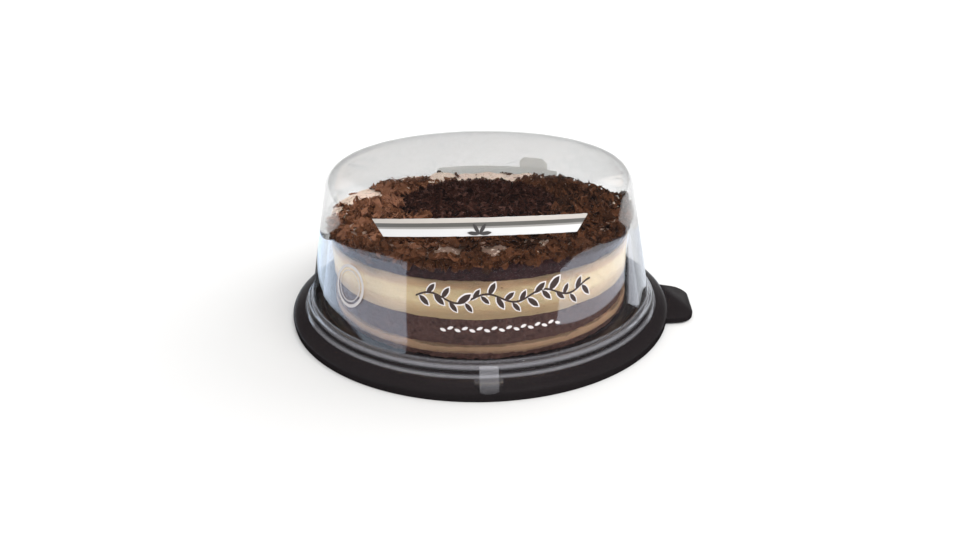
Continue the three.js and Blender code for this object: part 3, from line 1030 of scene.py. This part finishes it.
def flake_tone_and_painted_light(point, draw):
    """How light a flake is: at random, plus painted light: a painted reflection makes it lighter towards the
    left and lightest round one direction there, and painted shade makes it darker towards the right.
    """
    turn = turn_of(point)
    painted_glow = max(math.cos(turn - PAINTED_GLOW_TURN), 0.0) ** 4
    return 0.05 + 0.85 * draw.random() - 0.2 * math.cos(turn) + 0.55 * painted_glow


def rim_flakes(cream, toppings, lid, models, draw):
    """Where the flakes lie on the rim: flatter and smaller at the back and towards the outer edge."""
    places = []
    for point, normal in strewn(cream, toppings.flakes, 42.5 * MM, 76.5 * MM, draw):
        if is_bare(point, draw):
            continue
        back = max(math.sin(turn_of(point)), 0.0)
        flat = max(back, min((distance_of(point) / MM - 60) / 14, 0.8))
        lift = draw.uniform(-0.2, 1.0 - flat) * MM
        matrix = laid_on(point, normal, lift, *tips(draw, 0.18 - 0.12 * flat))
        matrix = matrix @ Matrix.Diagonal((1 - 0.3 * flat, 1 - 0.3 * flat, 1 - 0.65 * flat, 1.0))
        if fits(models[len(places) % len(models)], matrix, lid):
            places.append((matrix, flake_tone_and_painted_light(point, draw)))
    return places


def hanging_flakes(cake, lid, models, draw, taken):
    """Where flakes hang over the cake's edge; one that would touch the lid is made smaller or left out."""
    places = []
    for index in range(HANGING):
        turn = HANG_START + HANG_SWEEP * (index + draw.random()) / HANGING
        hang = 0.6 + 3.2 * max(0.0, math.cos(turn - HANG_LOWEST)) ** 2
        spot = polar(cake.radius + 0.4 * MM, turn, top_at(cake, turn) + draw.uniform(-hang, 2.6) * MM)
        face = ((spot - AXIS).normalized() + UP * draw.uniform(0.25, 1.3)).normalized()
        tipped = tips(draw, 0.2)
        lie = laid_on(spot, face, draw.uniform(0.0, 0.4) * MM, *tipped)
        shade = flake_tone_and_painted_light(spot, draw)
        for size in (0.7, 0.5, 0.35):
            matrix = lie @ Matrix.Scale(size, 4)
            if fits(models[(taken + len(places)) % len(models)], matrix, lid):
                places.append((matrix, shade))
                break
    return places


def rim_crumbs(cream, toppings, draw):
    """Where the crumbs lie among the flakes."""
    places = []
    for point, normal in strewn(cream, toppings.crumbs, 42.0 * MM, 77.5 * MM, draw):
        if not is_bare(point, draw):
            matrix = laid_on(point, normal, 0.2 * MM, 0.0, 0.0, any_turn(draw))
            places.append((matrix, flake_tone_and_painted_light(point, draw)))
    return places


def build_rim(cake, toppings, lid):
    """Models the rim's cream, its flakes and crumbs, and the flakes that hang over the edge."""
    draw = random.Random(5)
    cream = rim_cream(cake, toppings, draw)
    models = flake_models("flake", 12, draw, (6.5, 14), (3.6, 7), FLAKE_CURLS, 0.7 * MM)
    places = rim_flakes(cream, toppings, lid, models, draw)
    places += hanging_flakes(cake, lid, models, draw, len(places))
    flakes = scattered("flakes", models, places)
    places = rim_crumbs(cream, toppings, draw)
    lumps = [crumb_model("crumb", draw, size * MM) for size in CRUMB_SIZES]
    crumbs = scattered("crumbs", lumps, places)
    settle(cream, soft_cream("rim_cream", cake.whipped), "flakes_rim")
    brown = chocolate("flakes", toppings.milk, spread=0.72, roughness=0.55)
    settle(flakes, brown, "flakes_rim")
    brown = chocolate("crumbs", shade_of(toppings.milk, 0.75), spread=0.5, roughness=0.7)
    settle(crumbs, brown, "flakes_rim")


def mound_shape(cake, radius):
    """The rounded mound that carries the shavings."""
    edge, rise, fullness = 2.4 * MM, 6.0 * MM, 3
    base = CAKE_TOP - 0.3 * MM
    shares = [0.97 - 0.97 * (step / 9) ** 1.3 for step in range(10)]
    dome = [(radius * share, base + edge + rise * (1 - share ** fullness)) for share in shares]
    mound = spun("mound", [(0.0, base), (radius, base), *dome], steps=160)
    edit(mound)
    bpy.ops.mesh.subdivide(number_cuts=1)
    lean(mound, cake, CAKE_TOP, math.inf)
    end_edit()
    roughen(mound, "CLOUDS", 6.0 * MM, 1.4 * MM)
    smooth(mound, 60)
    return mound


def build_middle(cake, toppings):
    """Models the mound of dark shavings in the middle."""
    draw = random.Random(8)
    radius = 41.2 * MM
    mound = mound_shape(cake, radius)
    models = flake_models("shaving", 10, draw, (3.0, 8.0), (0.9, 1.8), SHAVING_CURLS, 0.55 * MM)
    places = []
    for point, normal in strewn(mound, toppings.shavings, 0.0, 0.985 * radius, draw):
        matrix = laid_on(point, normal, draw.uniform(-0.1, 0.9) * MM, *tips(draw, 0.35))
        places.append((matrix, draw.random()))
    shavings = scattered("shavings", models, places)
    dark = chocolate("mound", shade_of(toppings.dark, 0.7), spread=0.4, roughness=0.8)
    settle(mound, dark, "shavings_centre")
    dark = chocolate("shavings", toppings.dark, spread=0.7, roughness=0.7, grain=900.0)
    settle(shavings, dark, "shavings_centre")


# ---- the labels ---------------------------------------------------------------------

# How much the front label's edges rise to the right.
LABEL_RISE = 0.012

# The front label's bands: the distances of each below its upper edge in mm, and its colour.
TOP_BANDS = (
    (0.0, 1.9, (0.43, 0.40, 0.37)),
    (1.9, 3.6, (0.10, 0.097, 0.09)),
    (3.6, 4.4, (0.27, 0.26, 0.25)),
)


def label_sheet(name, lid, labels, centre, half, low, high, steps, rows):
    """A sheet that lies a little off the lid between two distances over its face."""
    profile = [lid_face(lid, low + (high - low) * row / rows, labels.lift) for row in range(rows + 1)]
    return spun(name, profile, steps, sweep=2 * half, start=centre + half)


def bisect(obj, point, normal):
    """Cuts away what lies on the side of a plane that its normal points to."""
    edit(obj)
    bpy.ops.mesh.bisect(plane_co=point, plane_no=normal, clear_outer=True)
    end_edit()


def edge_plane(lid, middle, end, half):
    """A point and the upward normal of the plane through a label's edge, which rises to the right."""
    radius, height = lid_face(lid, middle)
    first = Vector((0.0, -radius, height))
    radius, height = lid_face(lid, end)
    last = Vector((0.0, -radius * math.cos(half), height))
    along = (last - first).normalized()
    return first, Vector((-LABEL_RISE * along.y, -along.z, along.y)).normalized()


def label_top(lid, labels):
    """Models the white paper label over the lid's front shoulder."""
    half, low, high = math.radians(36.5), -9.0 * MM, 6.6 * MM
    top = label_sheet("top_label", lid, labels, FRONT, half, low, high, steps=60, rows=18)
    point, normal = edge_plane(lid, 5.0 * MM, 0.5 * MM, half)
    bisect(top, AXIS + point, normal)
    low_point, low_normal = edge_plane(lid, -2.7 * MM, -7.4 * MM, half)
    bisect(top, AXIS + low_point, -low_normal)
    radius, height = lid_face(lid, 0.5 * MM)
    for side in (-1, 1):
        slant = Vector((side * 0.78, 0.0, -0.62))
        bisect(top, polar(radius, FRONT + side * half, height), slant)
    thicken(top, labels.paper, 1.0)
    smooth(top)
    level = normal.dot(point)
    bands = [(level - far * MM, level - near * MM, ink) for near, far, ink in TOP_BANDS]
    settle(top, printed_paper("top_paper", labels.white, normal, bands), "label_top")


def label_back(lid, labels):
    """Models the pale label at the back, with a bump on its upper edge."""
    turn, half, bump_turn, bump_half = (math.radians(angle) for angle in (81, 27, 65, 6.5))
    heights = (24, 54, 53.5, 58, 61)
    low, high, bump_low, bump_corner, bump_high = (wall_distance(lid, height * MM) for height in heights)
    back = label_sheet("back_label", lid, labels, turn, half, low, high, steps=48, rows=10)
    bump = label_sheet("back_bump", lid, labels, bump_turn, bump_half, bump_low, bump_high, steps=12, rows=6)
    radius, height = lid_face(lid, bump_corner)
    for side in (-1, 1):
        slope = polar(1.0, bump_turn + side * math.pi / 2) - AXIS
        bisect(bump, polar(radius, bump_turn + side * bump_half, height), (slope + UP).normalized())
    back = join([back, bump], "back_label")
    thicken(back, labels.paper, 1.0)
    smooth(back)
    settle(back, printed_paper("back_paper", (0.90, 0.91, 0.90), glow=0.65), "label_back")


def label_side(lid, labels):
    """Models the clear label round the front of the lid's wall."""
    low, high = wall_distance(lid, 17 * MM), wall_distance(lid, 54 * MM)
    side = label_sheet("side_label", lid, labels, FRONT, math.radians(60), low, high, steps=96, rows=8)
    thicken(side, labels.film, 1.0)
    smooth(side)
    film = clear_film("side_film", (0.985, 0.982, 0.99), gloss=0.02, frost=0.004)
    settle(side, film, "label_side")
    return side


def leaf_blank(name, long, wide):
    """A flat pointed leaf that starts at the origin and points along X."""
    leaf = primitive("circle", name, vertices=16, radius=0.5, fill_type="NGON")
    for inner, squeeze in ((0.30, 0.75), (0.42, 0.6)):
        select_where(leaf, "VERT", lambda co: abs(co.x) > inner)
        resize(1.0, squeeze, 1.0)
    select_all()
    resize(long, wide, 1.0)
    move(long / 2, 0.0, 0.0)
    end_edit()
    thicken(leaf, PRINT_THICKNESS, 1.0)
    return leaf


def printed_leaves(name, long, wide, spots):
    """Leaf shapes of one size, printed at a list of matrices."""
    return scattered(name, [leaf_blank(f"{name}_leaf", long, wide)], [(spot, 0.5) for spot in spots])


def leaf_spot(lid, distance, turn, lift, degrees):
    """A matrix that lays a leaf on the lid, turned from level by an angle."""
    return on_face(lid, distance, turn, lift) @ Matrix.Rotation(math.radians(degrees), 4, "Z")


def ribbon(name, lid, path, width, lift):
    """A narrow printed band on the lid's wall along (turn, height) places."""
    places = [on_face(lid, wall_distance(lid, height), turn, lift).translation for turn, height in path]
    band = traced(name, places)
    extrude_edges(0.0, 0.0, width)
    pull = 1 - width * math.tan(lid_draft(lid)) / distance_of(places[0])
    resize(pull, pull, 1.0, AXIS)
    align_normals()
    end_edit()
    thicken(band, PRINT_THICKNESS, 0.0)
    return band


def sprig(lid, lift):
    """Where the leaves of the printed sprig lie, and the path of its stem."""
    draw = random.Random(21)
    start, end, level, wave = math.radians(-109), math.radians(-55), 41.0 * MM, 2.0 * MM
    steps, count, large = 96, 23, (5, 17)
    path = []
    for step in range(steps + 1):
        share = step / steps
        path.append((start + (end - start) * share, level + wave * math.sin(6.5 * math.pi * share)))
    leaves = []
    for index in range(count):
        turn, height = path[2 + index * 4]
        degrees = (1 if index % 2 else -1) * draw.uniform(38, 62)
        size = draw.uniform(0.75, 1.0) * (1.35 if index in large else 1.0)
        spot = leaf_spot(lid, wall_distance(lid, height), turn, lift, degrees)
        leaves.append(spot @ Matrix.Scale(size, 4))
    return path, leaves


def medallion(carrier):
    """A plain double ring, drawn flat before the front, laid on the side label and turned to its place."""
    turn, height = math.radians(-134), 37.6 * MM
    rings = []
    for name, radius, inner in (("outer_ring", 10.0 * MM, 0.86), ("inner_ring", 7.4 * MM, 0.93)):
        rings.append(primitive("circle", name, vertices=64, radius=radius, fill_type="NOTHING"))
        extrude_edges(0.0, 0.0, 0.0)
        resize(inner, inner, 1.0)
        select_all()
        rotate(-math.pi / 2, "X")
        move(AXIS_X, -1.15 * FLANGE_RADIUS, height)
        end_edit()
    rings = join(rings, "medallion")
    both_ways = {"use_negative_direction": True, "use_positive_direction": True}
    along_y = {"wrap_method": "PROJECT", "use_project_y": True, **both_ways}
    apply_modifier(rings, "SHRINKWRAP", target=carrier, offset=PRINT_THICKNESS, **along_y)
    edit(rings)
    rotate(turn - FRONT, "Z", AXIS)
    end_edit()
    thicken(rings, PRINT_THICKNESS, 0.0)
    return rings


def build_print(lid, labels, carrier):
    """Models the print: a dark sprig on pale shapes, a row of pale marks, two rings and a small emblem."""
    base = labels.lift + labels.film + 0.5 * PRINT_THICKNESS
    above = base + 2 * PRINT_THICKNESS
    path, leaves = sprig(lid, above)
    dark = printed_leaves("sprig_leaves", 6.6 * MM, 2.5 * MM, leaves)
    dark = join([dark, ribbon("stem", lid, path, 0.9 * MM, above)], "sprig")
    settle(dark, print_ink("dark_ink", labels.ink), "label_side")

    back = Matrix.Translation((-0.8 * MM, 0.0, 0.0))
    pale = printed_leaves("pale_leaves", 8.2 * MM, 3.7 * MM, [spot @ back for spot in sprig(lid, base)[1]])
    row = wall_distance(lid, 28.0 * MM)
    marks = []
    for index in range(17):
        turn = math.radians(-101.5 + 33.0 * index / 16)
        marks.append(leaf_spot(lid, row, turn, base, 20 if index % 2 else -20))
    marks = printed_leaves("marks", 2.9 * MM, 1.3 * MM, marks)
    rings = medallion(carrier)
    settle(rings, print_ink("faint_ink", shade_of(labels.pale, 0.7)), "label_side")
    pale = join([pale, marks], "pale_print")
    settle(pale, print_ink("pale_ink", labels.pale), "label_side")

    on_paper = labels.lift + labels.paper + PRINT_THICKNESS
    leaves = [leaf_spot(lid, -1.9 * MM, FRONT, on_paper, degrees) for degrees in (8, 60, 120, 172)]
    emblem = printed_leaves("emblem", 5.2 * MM, 1.6 * MM, leaves)
    settle(emblem, print_ink("emblem_ink", (0.06, 0.055, 0.055)), "label_top")


# ---- the stage ----------------------------------------------------------------------

# The stretches of floor that the lid mirrors: how bright each is, and its corners from the axis.
STRETCHES = {
    "left_stretch": ((1.16, 1.36, 1.62), (
        (-0.127, -0.176), (-1.27, -1.15), (-1.0, -0.58), (-0.77, -0.27), (-0.57, -0.08), (-0.41, 0.036),
        (-0.30, 0.094), (-0.105, 0.12), (-0.142, 0.012), (-0.152, -0.04), (-0.146, -0.10),
    )),
    "right_stretch": ((1.42, 1.58, 1.76), (
        (0.185, -0.22), (0.74, -0.59), (0.83, -0.45), (0.76, -0.26), (0.58, -0.07), (0.41, 0.043),
        (0.28, 0.108), (0.268, 0.042), (0.207, -0.005),
    )),
    "side_stretch": ((0.93, 0.98, 1.06), (
        (0.105, -0.012), (0.150, -0.026), (0.195, 0.006), (0.247, 0.053), (0.32, 0.12), (0.105, 0.12),
    )),
    "back_stretch": ((0.95, 0.95, 0.95), ((-0.45, 0.12), (0.45, 0.12), (1.2, 1.2), (-1.2, 1.2))),
}
BACK_BOARD = ((-2, 1.2, 0), (2, 1.2, 0), (2, 1.2, 0.5), (-2, 1.2, 0.5))

# Each light's place from the axis, size, radiance and tint.
LIGHTS = {
    "left_box": ((-1.2, 0.05, 0.40), (1.9, 0.9), 0.2, (0.95, 0.94, 1.0)),
    "right_box": ((1.2, 0.25, 0.40), (1.7, 0.9), 0.5, (0.95, 0.95, 1.0)),
    "key": ((0.5, -0.55, 1.0), (0.9, 0.6), 4.9, (1.0, 0.98, 0.95)),
}

CAMERA_PLACE = (0.0, -0.345, 0.170)
CAMERA_PITCH = 0.418
CAMERA_ROLL = 0.014
CAMERA_LENS = 25.24


def area_light(name, place, size, radiance, tint):
    """A soft rectangular light that faces the tray; gloss doesn't mirror it."""
    light = bpy.data.lights.new(name, "AREA")
    light.shape = "RECTANGLE"
    light.size, light.size_y = size
    light.energy = radiance * math.pi * size[0] * size[1]
    light.color = tint
    obj = linked(name, light)
    obj.location = AXIS + Vector(place)
    obj.rotation_euler = (-Vector(place)).to_track_quat("-Z", "Y").to_euler()
    obj.visible_glossy = obj.visible_camera = False


def mirrored_board(name, glow, corners, fade=None):
    """A bright board that only reflections show, through corners given from the axis.

    Fade is the height where it starts to darken and the height where it's dark.
    """
    board = traced(name, [AXIS + Vector(corner) for corner in corners])
    bpy.ops.mesh.edge_face_add()
    end_edit()
    finish = Finish(name)
    strength = finish.span(finish.parts(finish.place())[2], *fade, 1.0, 0.0) if fade else 1.0
    shine = finish.add("Emission", {"Color": glow, "Strength": strength})
    board.data.materials.append(finish.end(shine))
    board.visible_camera = board.visible_diffuse = board.visible_shadow = board.visible_transmission = False


def build_world():
    """Even white surroundings, brighter overhead, that gloss doesn't mirror."""
    finish = Finish("surroundings", bpy.data.worlds.new("surroundings"))
    upward = finish.parts(finish.add("TexCoord", output="Generated"))[2]
    background = finish.add("Background", {"Color": finish.span(upward, 0.0, 1.0, 1.04, 1.62)})
    world = bpy.context.scene.world = finish.end(background, "World")
    world.cycles_visibility.glossy = False


def build_camera():
    """The camera: in front of the tray's axis, looking down at it, rolled a little."""
    camera = bpy.data.cameras.new("camera")
    camera.sensor_width = 36.0
    camera.lens = CAMERA_LENS
    forward = Vector((0.0, math.cos(CAMERA_PITCH), -math.sin(CAMERA_PITCH)))
    up = Vector((0.0, math.sin(CAMERA_PITCH), math.cos(CAMERA_PITCH)))
    right = Vector((1.0, 0.0, 0.0))
    rolled_up = up * math.cos(CAMERA_ROLL) + right * math.sin(CAMERA_ROLL)
    rolled_right = right * math.cos(CAMERA_ROLL) - up * math.sin(CAMERA_ROLL)
    turn = Matrix((rolled_right, rolled_up, -forward)).transposed().to_4x4()
    obj = linked("camera", camera)
    obj.matrix_world = Matrix.Translation(AXIS + Vector(CAMERA_PLACE)) @ turn
    bpy.context.scene.camera = obj


def floor_with_painted_shadow():
    """The floor's material: pale, with a painted soft shadow that makes it darker near the pack and to its
    left.
    """
    finish = Finish("floor_with_painted_shadow")
    ends = {0: finish.place(), 1: (-0.07, -0.03, 0.0)}
    away = finish.add("VectorMath", ends, output="Value", operation="DISTANCE")
    # Painted shadow: darker near the pack and to its left.
    tone = finish.ramp(finish.maths("DIVIDE", away, 0.6), [(0.1, (0.55,) * 3), (1.0, (0.95,) * 3)])
    return finish.surface(tone, 0.9, Specular_IOR_Level=0.0)


def build_stage():
    """A pale floor with a painted shadow, soft lights, white surroundings and the camera."""
    floor = primitive("plane", "floor", size=24.0)
    end_edit()
    floor.data.materials.append(floor_with_painted_shadow())
    floor.visible_glossy = False
    for name, (glow, stretch) in STRETCHES.items():
        mirrored_board(name, glow, [(x, y, MIRROR_LIFT) for x, y in stretch])
    mirrored_board("back_board", (0.22, 0.22, 0.22), BACK_BOARD, fade=(0.25, 0.5))
    build_world()
    build_camera()
    for name, light in LIGHTS.items():
        area_light(name, *light)
    scene = bpy.context.scene
    scene.view_settings.view_transform = "Standard"
    scene.cycles.transparent_max_bounces = 48


# ---- operators and panel ------------------------------------------------------------


class CAKE_OT_stage(bpy.types.Operator):
    """Set up the floor, the lights and the camera"""

    bl_idname = "cake.stage"
    bl_label = "Stage"
    bl_options = {"REGISTER", "UNDO"}

    def execute(self, context):
        build_stage()
        return {"FINISHED"}


class CAKE_OT_tray(bpy.types.Operator):
    """Model the black tray with its side tab"""

    bl_idname = "cake.tray"
    bl_label = "Tray"
    bl_options = {"REGISTER", "UNDO"}

    def execute(self, context):
        build_tray(context.scene.cake_tray)
        return {"FINISHED"}


class CAKE_OT_layers(bpy.types.Operator):
    """Model the cake's layers of sponge and cream"""

    bl_idname = "cake.layers"
    bl_label = "Layers"
    bl_options = {"REGISTER", "UNDO"}

    def execute(self, context):
        build_layers(context.scene.cake_layers)
        return {"FINISHED"}


class CAKE_OT_rim(bpy.types.Operator):
    """Model the rim's cream and its chocolate flakes"""

    bl_idname = "cake.rim"
    bl_label = "Rim Flakes"
    bl_options = {"REGISTER", "UNDO"}

    def execute(self, context):
        scene = context.scene
        build_rim(scene.cake_layers, scene.cake_toppings, scene.cake_lid)
        return {"FINISHED"}


class CAKE_OT_middle(bpy.types.Operator):
    """Model the mound of dark shavings"""

    bl_idname = "cake.middle"
    bl_label = "Middle Shavings"
    bl_options = {"REGISTER", "UNDO"}

    def execute(self, context):
        build_middle(context.scene.cake_layers, context.scene.cake_toppings)
        return {"FINISHED"}


class CAKE_OT_lid(bpy.types.Operator):
    """Model the clear lid with its front lug"""

    bl_idname = "cake.lid"
    bl_label = "Lid"
    bl_options = {"REGISTER", "UNDO"}

    def execute(self, context):
        build_lid(context.scene.cake_lid)
        return {"FINISHED"}


class CAKE_OT_labels(bpy.types.Operator):
    """Model the labels on the lid and their print"""

    bl_idname = "cake.labels"
    bl_label = "Labels"
    bl_options = {"REGISTER", "UNDO"}

    def execute(self, context):
        lid, labels = context.scene.cake_lid, context.scene.cake_labels
        label_top(lid, labels)
        label_back(lid, labels)
        build_print(lid, labels, label_side(lid, labels))
        return {"FINISHED"}


OPERATORS = (
    CAKE_OT_stage, CAKE_OT_tray, CAKE_OT_layers, CAKE_OT_rim, CAKE_OT_middle, CAKE_OT_lid, CAKE_OT_labels
)


class VIEW3D_PT_cake(bpy.types.Panel):
    """Sizes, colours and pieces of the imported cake"""

    bl_label = "Packed Cake"
    bl_space_type = "VIEW_3D"
    bl_region_type = "UI"
    bl_category = "Cake"

    def draw(self, context):
        for key, group in SETTINGS.items():
            box = self.layout.box()
            settings = getattr(context.scene, key)
            for name in group.__annotations__:
                box.prop(settings, name)
        for operator in OPERATORS:
            self.layout.operator(operator.bl_idname)


CLASSES = (*SETTINGS.values(), *OPERATORS, VIEW3D_PT_cake)


def register():
    for cls in CLASSES:
        bpy.utils.register_class(cls)
    for key, group in SETTINGS.items():
        setattr(bpy.types.Scene, key, bpy.props.PointerProperty(type=group))


def unregister():
    for key in SETTINGS:
        delattr(bpy.types.Scene, key)
    for cls in reversed(CLASSES):
        bpy.utils.unregister_class(cls)


def main():
    register()
    bpy.ops.cake.stage()
    bpy.ops.cake.tray()
    bpy.ops.cake.layers()
    bpy.ops.cake.rim()
    bpy.ops.cake.middle()
    bpy.ops.cake.lid()
    bpy.ops.cake.labels()


if __name__ == "__main__":
    main()
